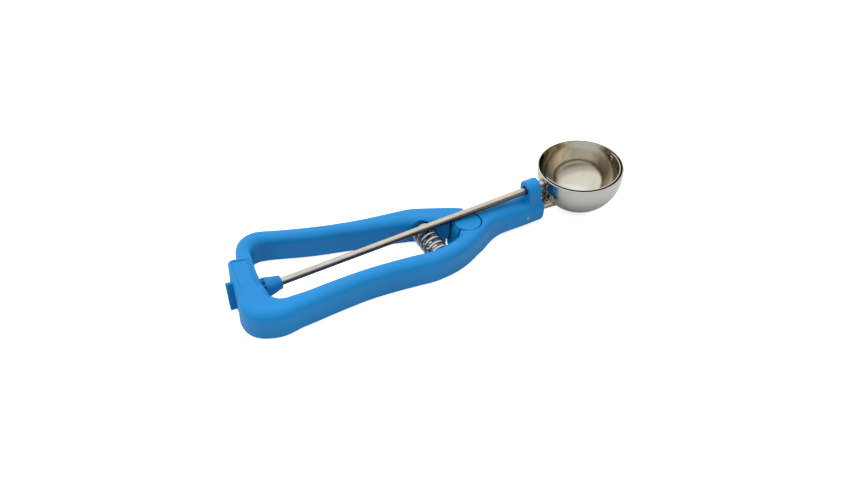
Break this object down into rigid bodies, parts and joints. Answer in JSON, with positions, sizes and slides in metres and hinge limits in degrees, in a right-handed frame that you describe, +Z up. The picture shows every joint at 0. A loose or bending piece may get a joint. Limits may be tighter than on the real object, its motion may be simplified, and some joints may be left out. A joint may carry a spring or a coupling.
{
  "type": "lever ice cream scoop",
  "caption": "Lever ice cream scoop: squeezing two blue arms drives a rack and pinion that turns a steel rod and sweeps a scraper band round a polished bowl",
  "frame": {"origin": "on the flat underside of the handle, below the scraper rod, 26.5 mm toward the bowl from the hinge", "axes": "+X along the handle to the bowl, +Y to the moving arm, +Z up from the table the scoop rests on"},
  "size_m": [0.2359, 0.067, 0.03],
  "materials": {
    "blue_plastic": "satin moulded blue",
    "rod_steel": "drawn bar with lengthwise lines",
    "band_steel": "polished strip",
    "bowl_steel": "mirror polished",
    "spring_steel": "bright spring wire",
    "braze": "brazed fillet"
  },
  "bodies": {
    "frame": {"fixed_handle": "blue_plastic", "bowl": "bowl_steel", "shank": "bowl_steel", "braze_fillet": "braze", "shank_pin": "rod_steel", "rod_eyelet": "bowl_steel", "far_pivot_rivet": "bowl_steel", "pivot_washer": "band_steel", "hinge_washer": "rod_steel", "stop_block": "blue_plastic", "spring": "spring_steel"},
    "lever": {"moving_handle": "blue_plastic", "hinge_screw": "rod_steel"},
    "scraper": {"scraper_rod": "rod_steel", "scraper_band": "band_steel", "near_tab_rivet": "band_steel", "pinion": "blue_plastic", "pinion_pin": "rod_steel"}
  },
  "joints": [
    {"name": "squeeze", "type": "hinge", "parent": "frame", "child": "lever", "pos_m": [-0.0265, -0.0043, 0.008], "axis": [0, 0, 1], "range_deg": [0, 5.6], "stiffness_Nm_per_rad": 2, "springref_deg": -8.59, "deforming": ["spring"]},
    {"name": "scraper_turn", "type": "hinge", "parent": "frame", "child": "scraper", "pos_m": [-0.0265, 0, 0.018], "axis": [0.9963, 0, 0.0854], "range_deg": [0, 151]}
  ],
  "couplings": [
    {"joint": "scraper_turn", "follows": "squeeze", "ratio": 26.778}
  ]
}
